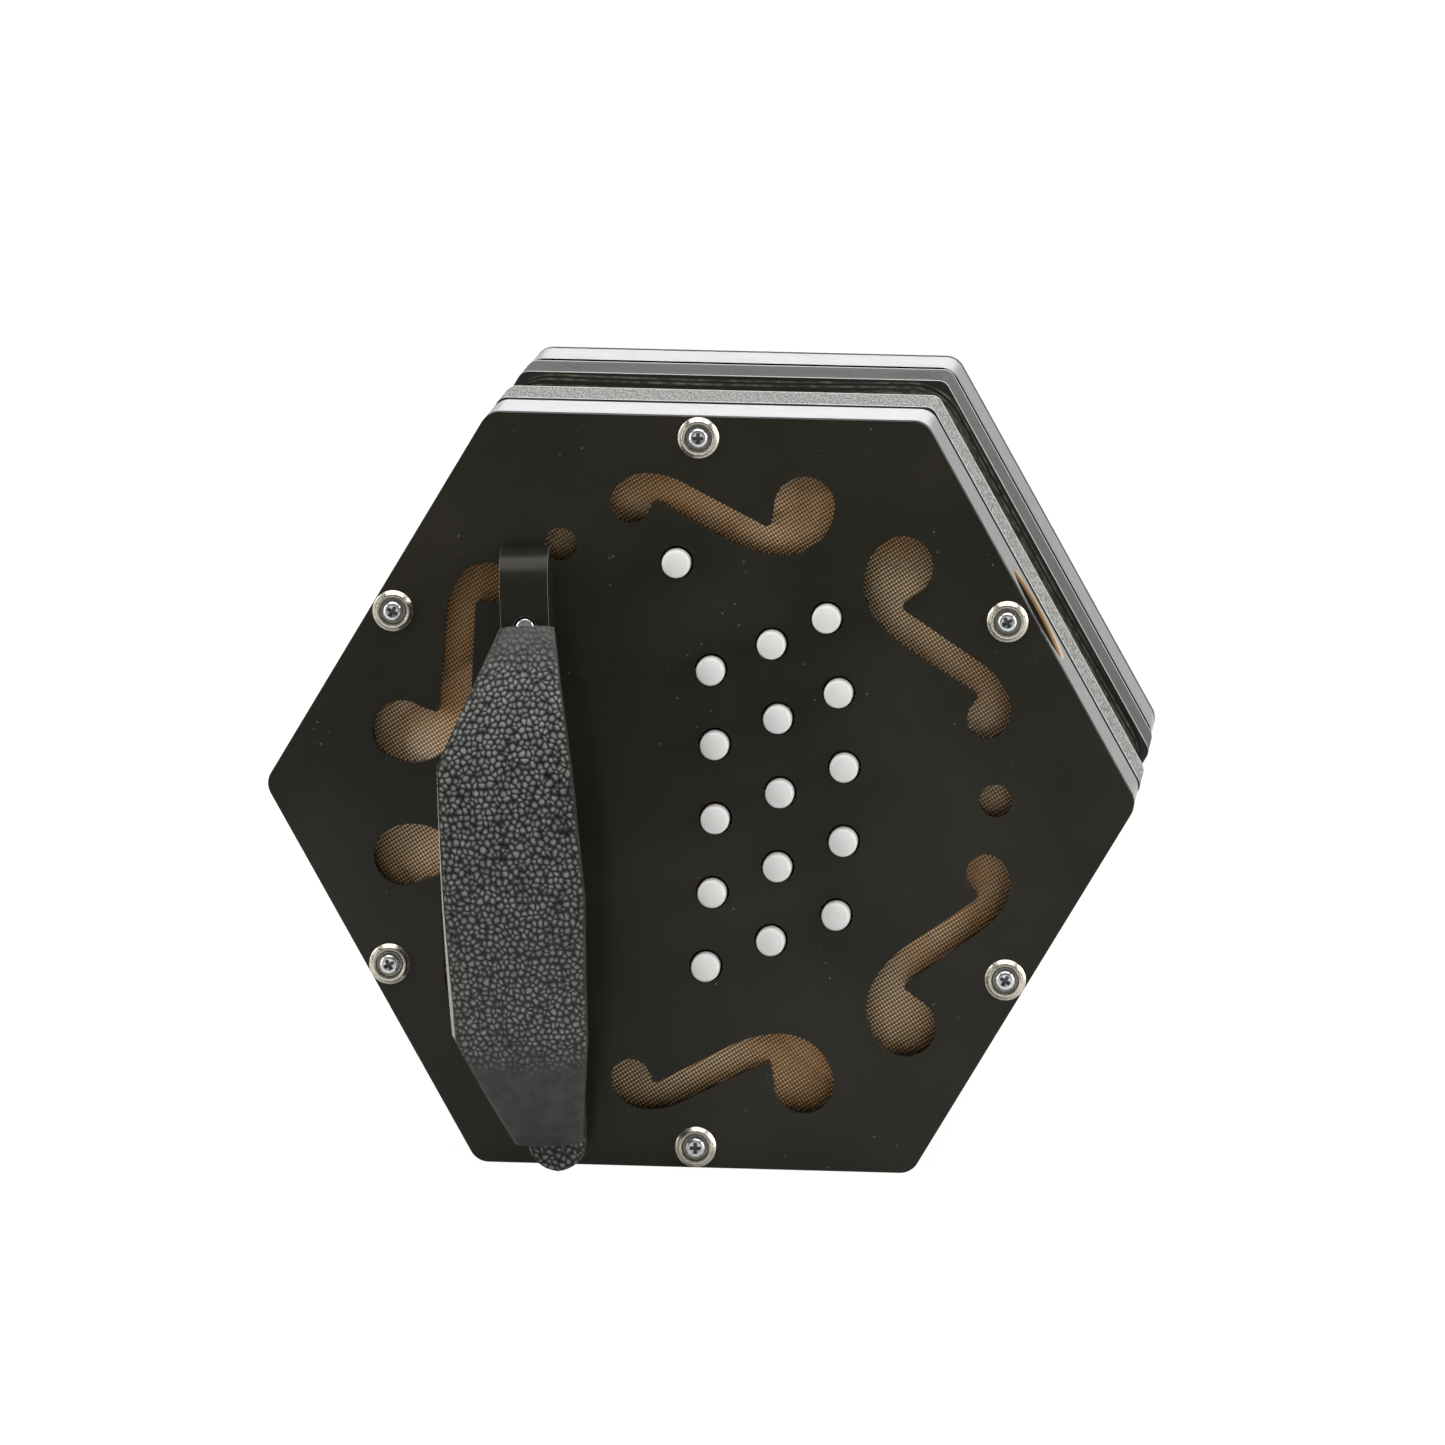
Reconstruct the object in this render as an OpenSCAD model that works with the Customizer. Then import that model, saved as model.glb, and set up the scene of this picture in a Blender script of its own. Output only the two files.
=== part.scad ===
// Thirty-button Anglo concertina: two hexagonal ends joined by folding bellows.
// Each end is drawn in its own face frame: u across, v up, w outwards from the middle of the
// bellows. right() and left() then stand it up: u along +X, v along +Z, w along -Y or +Y.
// The origin is under the middle of the closed bellows, on the surface it rests on.

/* [Body] */
// Hexagon width across its flats
across_flats = 185; // [180:0.5:190]
// Radius of the hexagon's six upright edges
corner_r = 5; // [4:0.5:10]
// Length of the closed bellows between its two frames
bellows_closed = 36; // [30:1:45]
// Depth of each bellows frame
frame_depth = 29; // [26:1:34]
// Depth of each end box behind its end plate
box_depth = 27; // [27:0.5:32]
// Thickness of each end plate
plate_t = 4; // [3:0.5:5]
// Wall thickness of the boxes and the bellows frames
wall_t = 9.6; // [9:0.2:11]
// Number of folds in the bellows
folds = 7; // [5:1:9]

/* [Frets] */
// Diameter of the three round fret holes
fret_hole_d = 8.1; // [6:0.1:9]
// Distance of the round fret holes from the middle of the face
fret_hole_at = 72.3; // [70:0.1:74]
// Diameter of the hole in the side wall of the right-hand box
side_hole_d = 25.5; // [12:0.5:26]

/* [Buttons] */
// Diameter of a button
button_d = 7; // [6:0.1:7.2]
// Diameter of the button holes in the end plate
button_hole_d = 8.2; // [8:0.1:9]
// Height of a button above the end plate
button_proud = 4.5; // [4:0.1:6]
// How far a button is pressed
button_travel = 3; // [2:0.1:3]
// Distance from one button to the next in a column
button_pitch = 18.25; // [18:0.05:19]

/* [Fixings] */
// Distance of the end bolts from the middle of the face
bolt_at = 87.4; // [87:0.1:87.4]
// Shank diameter of the end bolts and the rail screws
shank_d = 3; // [2:0.1:3]
// Outside diameter of a cup washer
washer_d = 10.1; // [9:0.1:10.1]

/* [Hand rest] */
// Width of the hand rail
rail_w = 11.8; // [10:0.1:14]
// Height of the hand rail above the end plate
rail_h = 14; // [12:0.5:18]
// Lean of the hand rail and its strap
rail_lean = 3; // [0:0.5:4]
// Height of the strap's crown above the end plate
strap_crown = 39; // [36:0.5:44]
// Thickness of the strap leather
strap_t = 2.5; // [2:0.1:3]

/* [Hidden] */
apothem = across_flats / 2;
inner_apothem = apothem - wall_t;
frame_corner_r = corner_r - 2;

// Levels along w, from the middle of the bellows outwards.
w_bellows = bellows_closed / 2;
w_frame = w_bellows + frame_depth;
board_rim_t = 5;
w_box = w_frame + board_rim_t;
w_board = w_frame + 6;
w_plate = w_box + box_depth;
w_face = w_plate + plate_t;

// Running gap round a guided peg, and the gap round parts that are only laid in place.
running_gap = 0.05;
loose_gap = 0.1;
groove_depth = 2;
side_hole_at = -2.2;
eps = 0.01;

// Buttons: column middle, bow towards the rail, lean, and the direction its levers run in.
rows = 5;
columns = [
  [3.9, -6.0, 1.7, 0, -1],
  [19.6, 0.8, 2.1, 0.55, -1],
  [35.2, 7.5, 3.1, 1.8, 1]
];
keys = rows * len(columns);
pad_u = [-38, -17, 60];
post_u = [-27.5, -4, 48];
air_at = [-6.6, 56.7];
function key_column(k) = floor((k - 1) / rows);
function key_row(k) = (k - 1) % rows - 2;
function key_at(k) =
  let (c = columns[key_column(k)], h = key_row(k) / 2)
  [c[0] - c[2] * h * h + c[3] * h, c[1] - button_pitch * key_row(k)];
function pad_at(k) = [pad_u[key_column(k)], key_at(k)[1]];

// Key action levels along w.
peg_r = 1.5;
peg_hole_depth = 5.1;
w_peg = w_board - 1.6;
w_shaft = w_board + button_travel + 0.3;
w_button = w_face + button_proud;
pad_r = 5;
pad_t = 2.6;
pad_hole_r = 3;
lever_t = 1.2;
lever_w = 1.6;
w_lever = w_board + 5;
slot_gap = 0.25;

// The air key's lever turns on a pin halfway between its button and its pad.
air_arm = 25;
air_pivot = [air_at[0] + air_arm, air_at[1]];
air_pad = [air_at[0] + 2 * air_arm, air_at[1]];
air_lever_w = 2;
air_lever_t = 1.4;
air_pad_r = 6.5;
air_hole_r = 5;
air_pin_r = 1;
w_air_lever = w_lever + air_lever_t / 2;

// Hand rest, in its own frame: a across the rail, b along it.
rail_at = [-40.2, 0];
rail_top_end = 60;
rail_low_end = -78;
rail_screws = [41.5, -57.5];
screw_head_r = 2.5;
strap_top_end = 41;
strap_low_end = -84;
tail_end = -92;
tail_w = 14.3;
tail_a = 3.3;

$fn = 64;

// ---- frames and outlines ----

module right() translate([0, 0, apothem]) rotate([90, 0, 0]) children();
module left() mirror([0, 1, 0]) right() children();
module side(name) {
  if (name == "right") right() children();
  else left() children();
}
module slab(w0, w1) translate([0, 0, w0]) linear_extrude(w1 - w0) children();

function arc(c, r, a0, a1, step) =
  let (n = ceil(abs(a1 - a0) / step))
  [for (i = [0:n]) let (a = a0 + (a1 - a0) * i / n) c + r * [cos(a), sin(a)]];

module hexagon(a) circle(r = a / cos(30), $fn = 6);

// Hexagon with round corners, a being the distance from its middle to a flat.
module round_hexagon(a, r) {
  corner_at = (a - r) / cos(30);
  polygon([for (k = [0:5])
    each arc(corner_at * [cos(60 * k), sin(60 * k)], r, 60 * k - 30, 60 * k + 30, 7.5)]);
}
module hexagon_ring(r) difference() {
  round_hexagon(apothem, r);
  hexagon(inner_apothem);
}

// One fret: an S-shaped opening with a large and a small curl, lying along an edge. Its points
// are (along the edge, out from the middle of the face).
fret_outline = concat(
  arc([27, 71], 7.45, 2, 184, 9),
  arc([17.9, 67.2], 1.1, 15, -115, 26),
  arc([-11.1, 60.8], 17.65, 64.5, 90, 5),
  arc([-11.8, 69.5], 8.95, 90, 160, 8),
  arc([-15.6, 70.9], 4.9, 172, 345, 12),
  arc([-9.3, 70.6], 1.1, 195, 65, 26),
  arc([21.9, 86.3], 27.5, -117.2, -90, 4),
  arc([21.7, 71.6], 12.75, -82, -6.5, 8)
);
module fret() polygon([for (p = fret_outline) [p[1], p[0]]]);

// How far each edge's bolt and fret, and each round hole, stand from their regular places: (out,
// along), and for a fret also its turn about the middle of the face.
bolt_shift = [[-0.9, 1.1], [0, 1.8], [-0.1, 0.5], [0, 0.3], [0, 0.4], [0, -0.3]];
fret_shift = [[-0.5, -1.9, 0], [0, 2.7, 0], [-0.8, -2.3, 0], [0.2, 5.6, 0], [0, -0.4, 0], [0.1, -0.3, 3.4]];
fret_hole_shift = [[0, 0], [-2.4, 0.1], [0, 0]];

module at_bolts() for (k = [0:5]) rotate(30 + 60 * k)
  translate([bolt_at + bolt_shift[k][0], bolt_shift[k][1]]) children();
module bolt_holes(r) at_bolts() translate([0, 0, w_bellows]) cylinder(r = r, h = w_face);
module frets() for (k = [0:5]) let (shift = fret_shift[k]) rotate(30 + 60 * k)
  translate([shift[0], shift[1]]) rotate(shift[2]) mirror([0, k % 2, 0]) fret();
module in_rail_frame() translate([rail_at[0], rail_at[1], 0]) rotate(rail_lean) children();

// ---- bellows and frames ----

peak_inset = 2.6;
valley_inset = 14;
bellows_depth = 25;
module bellows() {
  pitch = bellows_closed / (2 * folds + 1);
  color([0.12, 0.11, 0.08]) right() difference() {
    for (i = [0:2 * folds]) {
      inset = i % 2 == 0 ? valley_inset : peak_inset;
      slab(i * pitch - w_bellows, (i + 1) * pitch - w_bellows)
        round_hexagon(apothem - inset, frame_corner_r);
    }
    slab(-w_bellows - 1, w_bellows + 1) hexagon(apothem - bellows_depth);
  }
}
module bellows_frame(s) color([0.16, 0.16, 0.15]) side(s) difference() {
  slab(w_bellows, w_frame) hexagon_ring(frame_corner_r);
  at_bolts() translate([0, 0, w_frame - 12.5]) cylinder(r = shank_d / 2 + running_gap, h = 13);
}

// ---- reeds ----

chamber_t = 1.2;
pan_t = 4;
w_pan = w_frame - 14;
chamber_h = w_frame - w_pan - pan_t;
left_walls = concat(
  [key_at(1)[1] + 12],
  [for (k = [1:rows]) key_at(k)[1] + 3.4],
  [for (k = [1:rows - 1]) key_at(k)[1] - 5.7],
  [key_at(rows)[1] - 6]
);
module reed_pan(s) color([0.72, 0.55, 0.34]) side(s) intersection() {
  slab(w_pan, w_frame) hexagon(inner_apothem);
  union() {
    slab(w_pan, w_pan + pan_t) square(300, center = true);
    slab(w_pan, w_frame) {
      for (v = left_walls) translate([-75, v - chamber_t / 2]) square([66, chamber_t]);
      for (k = [0:rows]) translate([24, key_at(11)[1] + (0.5 - k) * button_pitch])
        square([56, chamber_t]);
      for (u = [-10, 24, -75]) translate([u, -50]) square([chamber_t, 106]);
    }
  }
}
module reed_pair(length) for (m = [0, 1]) mirror([0, 0, m]) {
  translate([-length / 2, -2.6, pan_t / 2]) cube([length, 5.2, 1.8]);
  translate([-length / 2 + 2, -1, pan_t / 2 + 1.8]) cube([length - 5, 2, 0.3]);
}

// For each column of keys: the middle of its reeds in u, their shift in v, the longest reed.
reed_rows = [[-36, -1.15, 38], [-33, 1.2, 38], [46, 0, 34]];
module reeds(s) color([0.78, 0.64, 0.3]) side(s) for (k = [1:keys]) {
  reed = reed_rows[key_column(k)];
  translate([reed[0], key_at(k)[1] + reed[1], w_pan + pan_t / 2])
    reed_pair(reed[2] - 3 * (key_row(k) + 2));
}

// ---- key action ----

module action_board(s) color([0.7, 0.54, 0.36]) side(s) difference() {
  union() {
    slab(w_frame, w_box) round_hexagon(apothem - groove_depth, frame_corner_r);
    slab(w_box - eps, w_board) hexagon(inner_apothem - loose_gap);
  }
  bolt_holes(shank_d / 2 + loose_gap);
  for (k = [1:keys]) {
    translate(concat(pad_at(k), w_frame - 1)) cylinder(r = pad_hole_r, h = 8);
    translate(concat(key_at(k), w_board - peg_hole_depth))
      cylinder(r = peg_r + running_gap, h = 8);
  }
  if (s == "right") {
    translate(concat(air_pad, w_frame - 1)) cylinder(r = air_hole_r, h = 8);
    translate(concat(air_at, w_board - peg_hole_depth)) cylinder(r = peg_r + running_gap, h = 8);
  }
}

// A slotted post, its lever lying in the slot, and the pad at the lever's far end.
module key_lever(k) {
  from = key_at(k);
  to = pad_at(k);
  dir = columns[key_column(k)][4];
  length = abs(to[0] - from[0]) + 4;
  post_h = w_lever + lever_t + 1.8 - w_board;
  translate([from[0] - dir * 2, from[1], 0]) scale([dir, 1, 1]) {
    translate([0, -lever_w / 2, w_lever]) cube([length, lever_w, lever_t]);
  }
  translate([post_u[key_column(k)], from[1], w_board]) difference() {
    translate([-1.5, -2, 0]) cube([3, 4, post_h]);
    translate([-2.5, -lever_w / 2 - running_gap, w_lever - w_board - running_gap])
      cube([5, lever_w + 2 * running_gap, lever_t + 2 * running_gap]);
  }
  translate(concat(to, w_board)) {
    cylinder(r = pad_r, h = pad_t);
    translate([0, 0, pad_t - eps]) cylinder(r = 1.2, h = w_lever - w_board - pad_t + eps);
  }
}
module air_post() {
  cheek_t = 1.4;
  gap = air_lever_w / 2 + 0.15;
  translate([air_pivot[0], air_pivot[1], w_board]) {
    for (m = [0, 1]) mirror([0, m, 0]) translate([-2, gap, 0])
      cube([4, cheek_t, w_air_lever + 2.2 - w_board]);
    translate([0, gap + cheek_t / 2, w_air_lever - w_board]) rotate([90, 0, 0])
      cylinder(r = air_pin_r, h = 2 * gap + cheek_t);
  }
}
module key_levers(s) color([0.8, 0.66, 0.34]) side(s) {
  for (k = [1:keys]) key_lever(k);
  if (s == "right") air_post();
}

// A round-topped button on a thinner guide peg, slotted for its lever.
module button(at, lever_at_w, slot_h, slot_w) {
  r = button_d / 2;
  edge = 1.2;
  dome = 0.45;
  profile = concat(
    [[0, w_peg], [peg_r, w_peg], [peg_r, w_shaft], [r, w_shaft]],
    arc([r - edge, w_button - dome - edge], edge, 0, 78, 13),
    [[r * 0.35, w_button - 0.06], [0, w_button]]
  );
  translate([at[0], at[1], 0]) difference() {
    rotate_extrude() polygon(profile);
    translate([-r - 1, -slot_w / 2, lever_at_w]) cube([2 * r + 2, slot_w, slot_h]);
  }
}
module key_button(s, k) color([0.95, 0.95, 0.93]) side(s)
  button(key_at(k), w_lever - slot_gap, button_travel + lever_t + 2 * slot_gap,
         lever_w + 2 * slot_gap);
module air_button() color([0.95, 0.95, 0.93]) right()
  button(air_at, w_air_lever - 1.35, 2.7, air_lever_w + 2 * slot_gap);
module air_lever() color([0.8, 0.66, 0.34]) right() translate([0, air_at[1], w_air_lever])
  difference() {
    union() {
      translate([air_at[0] - 3, -air_lever_w / 2, -air_lever_t / 2])
        cube([2 * air_arm + 5, air_lever_w, air_lever_t]);
      translate([air_pivot[0], air_lever_w / 2, 0]) rotate([90, 0, 0])
        cylinder(r = 2.1, h = air_lever_w);
    }
    translate([air_pivot[0], 3, 0]) rotate([90, 0, 0])
      cylinder(r = air_pin_r + running_gap, h = 6);
  }
module air_pad() color([0.6, 0.5, 0.4]) right() translate(concat(air_pad, w_board)) {
  cylinder(r = air_pad_r, h = pad_t);
  translate([0, 0, pad_t - eps])
    cylinder(r = 1.5, h = w_air_lever - air_lever_t / 2 - w_board - pad_t + eps);
}

// ---- end boxes and plates ----

module end_box(s) color([0.03, 0.03, 0.03]) side(s) difference() {
  slab(w_box, w_plate) hexagon_ring(corner_r);
  bolt_holes(shank_d / 2 + loose_gap);
  if (s == "right") rotate(30) translate([inner_apothem - 2, side_hole_at, (w_box + w_plate) / 2])
    rotate([0, 90, 0]) cylinder(d = side_hole_d, h = wall_t + 4);
}
module end_plate(s) color([0.13, 0.12, 0.11]) side(s) difference() {
  slab(w_plate, w_face) round_hexagon(apothem, corner_r);
  slab(w_plate - 1, w_face + 1) {
    frets();
    for (k = [0:2]) rotate(120 * k) translate([fret_hole_at, 0] + fret_hole_shift[k])
      circle(d = fret_hole_d);
    for (k = [1:keys]) translate(key_at(k)) circle(d = button_hole_d);
    if (s == "right") translate(air_at) circle(d = button_hole_d);
  }
  bolt_holes(shank_d / 2 + loose_gap);
  in_rail_frame() for (b = rail_screws) translate([0, b, w_plate - 1])
    cylinder(r = shank_d / 2 + loose_gap, h = plate_t + 2);
}
module fret_screen(s) color([0.75, 0.55, 0.35]) side(s) difference() {
  slab(w_plate - 0.4, w_plate) hexagon(inner_apothem - loose_gap);
  slab(w_plate - 1, w_plate + 1) {
    for (k = [1:keys]) translate(key_at(k)) circle(d = button_d + 0.5);
    if (s == "right") translate(air_at) circle(d = button_d + 0.5);
    in_rail_frame() for (b = rail_screws) translate([0, b]) circle(d = shank_d + 0.4);
  }
}

// ---- fixings ----

module cross_recess(size, depth) for (a = [0, 90]) rotate(a)
  translate([-size / 2, -0.45, -depth]) cube([size, 0.9, depth + 2]);

// A pan-headed screw, its head standing on w = 0.
module screw(head_r, head_h, length) difference() {
  rotate_extrude() polygon(concat(
    [[0, -length], [shank_d / 2, -length], [shank_d / 2, 0], [head_r, 0], [head_r, head_h * 0.4]],
    arc([head_r * 0.55, head_h * 0.4], head_r * 0.45, 15, 75, 15),
    [[0, head_h]]
  ));
  translate([0, 0, head_h]) cross_recess(head_r * 1.1, 0.9);
}
module cup_washers(s) color([0.85, 0.82, 0.74]) side(s) at_bolts()
  translate([0, 0, w_face]) rotate_extrude() polygon([
    [shank_d / 2 + loose_gap, 0], [washer_d / 2, 0], [washer_d / 2, 0.35], [washer_d / 2 - 0.5, 0.75],
    [4.1, 1.3], [3.7, 1.4], [3.4, 1.2], [3.1, 0.5], [shank_d / 2 + loose_gap, 0.5]
  ]);
module end_bolts(s) color([0.8, 0.8, 0.8]) side(s) at_bolts()
  translate([0, 0, w_face + 0.5]) screw(screw_head_r, 1.5, w_face + 0.5 - w_frame + 12);
module rail_screws(s) color([0.85, 0.85, 0.85]) side(s) in_rail_frame() for (b = rail_screws)
  translate([0, b, w_face + rail_h - 1.6]) screw(screw_head_r, 1.5, rail_h + plate_t + 1.6);

// ---- hand rest ----

// The rail's side view: flat on the plate, level on top, its ends rounded down to the plate.
rail_side = let (end_r = rail_h * 0.75) concat(
  [[rail_low_end, 0], [rail_top_end, 0], [rail_top_end, rail_h - end_r]],
  arc([rail_top_end - end_r, rail_h - end_r], end_r, 0, 90, 6),
  arc([rail_low_end + end_r, rail_h - end_r], end_r, 90, 180, 6)
);
module hand_rail(s) color([0.02, 0.02, 0.02]) side(s) in_rail_frame() difference() {
  translate([-rail_w / 2, 0, w_face]) rotate([90, 0, 90]) linear_extrude(rail_w)
    polygon(rail_side);
  for (b = rail_screws) translate([0, b, w_face]) {
    translate([0, 0, -1]) cylinder(r = shank_d / 2 + loose_gap, h = rail_h + 2);
    translate([0, 0, rail_h - 1.6]) cylinder(r = screw_head_r + 0.3, h = 3);
  }
}

// The strap's side view is an arc over the hand; its plan narrows to both ends.
strap_half = (strap_top_end - strap_low_end) / 2;
strap_mid = (strap_top_end + strap_low_end) / 2;
strap_foot = rail_h + strap_t;
strap_rise = strap_crown - strap_foot;
strap_r = (strap_half * strap_half + strap_rise * strap_rise) / (2 * strap_rise);
strap_half_angle = asin(strap_half / strap_r);
strap_plan = [
  [-5.9, strap_top_end], [7.6, strap_top_end], [12.5, 3.7], [14.4, -21.4], [13.2, -58],
  [10, strap_low_end], [-7.2, strap_low_end], [-19.8, -55.5], [-21, 10.5]
];
module strap_arch() {
  centre = [strap_mid, strap_crown - strap_r];
  rotate([90, 0, 90]) linear_extrude(60, center = true) polygon(concat(
    arc(centre, strap_r + strap_t, 90 - strap_half_angle, 90 + strap_half_angle, 4),
    arc(centre, strap_r, 90 + strap_half_angle, 90 - strap_half_angle, 4)
  ));
}
module hand_strap(s) color([0.2, 0.21, 0.2]) side(s) in_rail_frame() translate([0, 0, w_face]) {
  intersection() {
    strap_arch();
    linear_extrude(60) polygon(strap_plan);
  }
  translate([tail_a, 0, rail_h]) linear_extrude(strap_t + 0.6) {
    translate([-tail_w / 2, tail_end + tail_w / 2]) square([tail_w, 18]);
    translate([0, tail_end + tail_w / 2]) circle(d = tail_w);
  }
}

bellows();
for (s = ["right", "left"]) {
  bellows_frame(s);
  reed_pan(s);
  reeds(s);
  action_board(s);
  key_levers(s);
  end_box(s);
  end_plate(s);
  fret_screen(s);
  end_bolts(s);
  cup_washers(s);
  hand_rail(s);
  rail_screws(s);
  hand_strap(s);
  for (k = [1:keys]) key_button(s, k);
}
air_button();
air_lever();
air_pad();
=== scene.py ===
"""Looks of the thirty-button Anglo concertina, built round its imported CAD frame.

Every piece is in metres in the row frame: +Z up, the right-hand end towards -Y.
"""
import bpy
import math
from mathutils import Matrix, Vector, noise


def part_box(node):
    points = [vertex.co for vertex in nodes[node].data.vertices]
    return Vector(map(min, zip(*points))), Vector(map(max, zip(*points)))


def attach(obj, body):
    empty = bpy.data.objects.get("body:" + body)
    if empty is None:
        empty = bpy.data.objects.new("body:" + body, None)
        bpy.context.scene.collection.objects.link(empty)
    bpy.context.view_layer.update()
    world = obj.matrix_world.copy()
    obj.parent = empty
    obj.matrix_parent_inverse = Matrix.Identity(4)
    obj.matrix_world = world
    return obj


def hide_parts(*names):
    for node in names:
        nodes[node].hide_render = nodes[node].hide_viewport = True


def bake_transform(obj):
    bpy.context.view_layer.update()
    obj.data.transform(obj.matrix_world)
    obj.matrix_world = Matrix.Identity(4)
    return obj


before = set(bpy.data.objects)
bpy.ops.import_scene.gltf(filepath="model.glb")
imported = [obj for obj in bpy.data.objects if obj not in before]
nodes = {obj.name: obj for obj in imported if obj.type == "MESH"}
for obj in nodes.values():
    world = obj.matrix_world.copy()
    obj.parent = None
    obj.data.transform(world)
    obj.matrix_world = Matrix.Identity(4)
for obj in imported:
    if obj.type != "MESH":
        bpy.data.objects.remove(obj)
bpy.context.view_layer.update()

MM = 0.001
SIDES = ("right", "left")
BODY = {"right": "right_end", "left": "left_end"}

# Driving places, read from the frame: the ends' half height over their flats, the right-hand face's
# distance from the middle, and the closed bellows' half length.
plate_low, plate_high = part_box("end_plate_right")
APOTHEM = (plate_high.z - plate_low.z) / 2
FACE = -plate_low.y
BELLOWS_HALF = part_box("bellows")[1].y

# Half of the angle that one side of the hexagon spans.
HALF_SIDE = math.radians(30)
# The way the upper right side of the hexagon faces. The side hole runs along it.
UPPER_RIGHT = Vector((math.cos(HALF_SIDE), 0, math.sin(HALF_SIDE)))


def place(side, u, v, w):
    """A point of one end's face frame (u across, v up, w outwards from the middle) in the row frame."""
    return Vector((u, -w if side == "right" else w, v + APOTHEM))


# ---------------------------------------------------------------- materials


class Shader:
    """One node-based material: a Principled surface with helpers that add and join its nodes."""

    def __init__(self, name, base, roughness, metallic=0.0, coat=0.0, specular=0.5):
        self.material = bpy.data.materials.new(name)
        self.material.use_nodes = True
        self.tree = self.material.node_tree
        self.surface = self.tree.nodes["Principled BSDF"]
        self.surface.inputs["Base Color"].default_value = (*base, 1)
        self.surface.inputs["Roughness"].default_value = roughness
        self.surface.inputs["Metallic"].default_value = metallic
        self.surface.inputs["Coat Weight"].default_value = coat
        self.surface.inputs["Coat Roughness"].default_value = 0.04
        self.surface.inputs["Specular IOR Level"].default_value = specular
        self.place = self.add("ShaderNodeTexCoord").outputs["Object"]
        self.height = None

    def add(self, kind, **settings):
        node = self.tree.nodes.new(kind)
        for key, value in settings.items():
            setattr(node, key, value)
        return node

    def join(self, source, target):
        self.tree.links.new(source, target)

    def stretched(self, scale, turn=(0, 0, 0)):
        """The object's place, turned and scaled, as a vector for a texture."""
        mapping = self.add("ShaderNodeMapping")
        mapping.inputs["Scale"].default_value = scale
        mapping.inputs["Rotation"].default_value = turn
        self.join(self.place, mapping.inputs["Vector"])
        return mapping.outputs["Vector"]

    def noise(self, scale, detail, vector=None):
        node = self.add("ShaderNodeTexNoise")
        node.inputs["Scale"].default_value = scale
        node.inputs["Detail"].default_value = detail
        self.join(vector or self.place, node.inputs["Vector"])
        return node.outputs["Fac"]

    def cells(self, scale, feature="F1"):
        node = self.add("ShaderNodeTexVoronoi", feature=feature)
        node.inputs["Scale"].default_value = scale
        self.join(self.place, node.inputs["Vector"])
        return node.outputs["Distance"]

    def math(self, operation, a, b=0.0):
        node = self.add("ShaderNodeMath", operation=operation)
        for slot, value in zip(node.inputs, (a, b)):
            if isinstance(value, (int, float)):
                slot.default_value = value
            else:
                self.join(value, slot)
        return node.outputs[0]

    def band(self, value, low, high, to_low=0.0, to_high=1.0):
        """value mapped from low..high to to_low..to_high, held at both ends."""
        node = self.add("ShaderNodeMapRange")
        for slot, number in zip(list(node.inputs)[1:5], (low, high, to_low, to_high)):
            slot.default_value = number
        self.join(value, node.inputs[0])
        return node.outputs[0]

    def mix(self, share, first, second):
        """first where share is 0, second where it is 1; colours are tuples or sockets."""
        node = self.add("ShaderNodeMix", data_type="RGBA")
        for slot, value in ((node.inputs[0], share), (node.inputs[6], first), (node.inputs[7], second)):
            if isinstance(value, tuple):
                slot.default_value = (*value, 1)
            elif isinstance(value, (int, float)):
                slot.default_value = value
            else:
                self.join(value, slot)
        return node.outputs[2]

    def color(self, source):
        self.join(source, self.surface.inputs["Base Color"])

    def rough(self, source):
        self.join(source, self.surface.inputs["Roughness"])

    def bump(self, height, distance):
        """Adds a bump layer on top of those already there. distance is the height in metres."""
        node = self.add("ShaderNodeBump")
        node.inputs["Distance"].default_value = distance
        self.join(height, node.inputs["Height"])
        if self.height is not None:
            self.join(self.height, node.inputs["Normal"])
        self.height = node.outputs["Normal"]
        self.join(self.height, self.surface.inputs["Normal"])


def black_face():
    """Polished black wood: warm, faintly mottled, with specks of dust."""
    s = Shader("black_face", (0.02, 0.019, 0.014), 0.18, specular=0.15)
    patches = s.band(s.noise(24, 4), 0.38, 0.66)
    tone = s.mix(patches, (0.0175, 0.0172, 0.0122), (0.026, 0.0232, 0.0168))
    dust = s.band(s.cells(300), 0.085, 0.055)
    some = s.band(s.noise(64, 2), 0.58, 0.6)
    s.color(s.mix(s.math("MULTIPLY", dust, some), tone, (0.12, 0.12, 0.11)))
    s.rough(s.band(s.noise(60, 3), 0.3, 0.7, 0.14, 0.24))
    return s.material


def black_lacquer(name, base, roughness, brushed, coat, specular):
    """Black lacquer; brushed is the height of the long faint ridges its brush left along a side."""
    s = Shader(name, base, roughness, coat=coat, specular=specular)
    s.rough(s.band(s.noise(120, 3), 0.35, 0.7, roughness * 0.8, roughness * 1.3))
    s.bump(s.noise(330, 3, s.stretched((0.05, 1, 0.05))), brushed)
    s.bump(s.noise(55, 2), 0.03 * MM)
    return s.material


def hole_wood():
    """The side hole's bore: bare orange wood with a painted pale highlight at its mouth and painted
    black shade further in.
    """
    s = Shader("hole_wood", (0.7, 0.45, 0.2), 0.6)
    product = s.add("ShaderNodeVectorMath", operation="DOT_PRODUCT")
    product.inputs[1].default_value = UPPER_RIGHT
    s.join(s.add("ShaderNodeNewGeometry").outputs["Position"], product.inputs[0])
    out = product.outputs["Value"]
    mouth = APOTHEM + APOTHEM * math.sin(HALF_SIDE)
    mouth_painted_highlight, orange, deep_painted_shade = (0.82, 0.76, 0.62), (0.5, 0.25, 0.07), (0.004, 0.0035, 0.003)
    # Painted highlight: pale cream at the mouth, then the wood's orange; painted shade: black deeper
    # in.
    wood = s.mix(s.band(out, mouth - 0.45 * MM, mouth - 0.8 * MM), mouth_painted_highlight, orange)
    s.color(s.mix(s.band(out, mouth - 1.05 * MM, mouth - 1.35 * MM), wood, deep_painted_shade))
    return s.material


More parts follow.
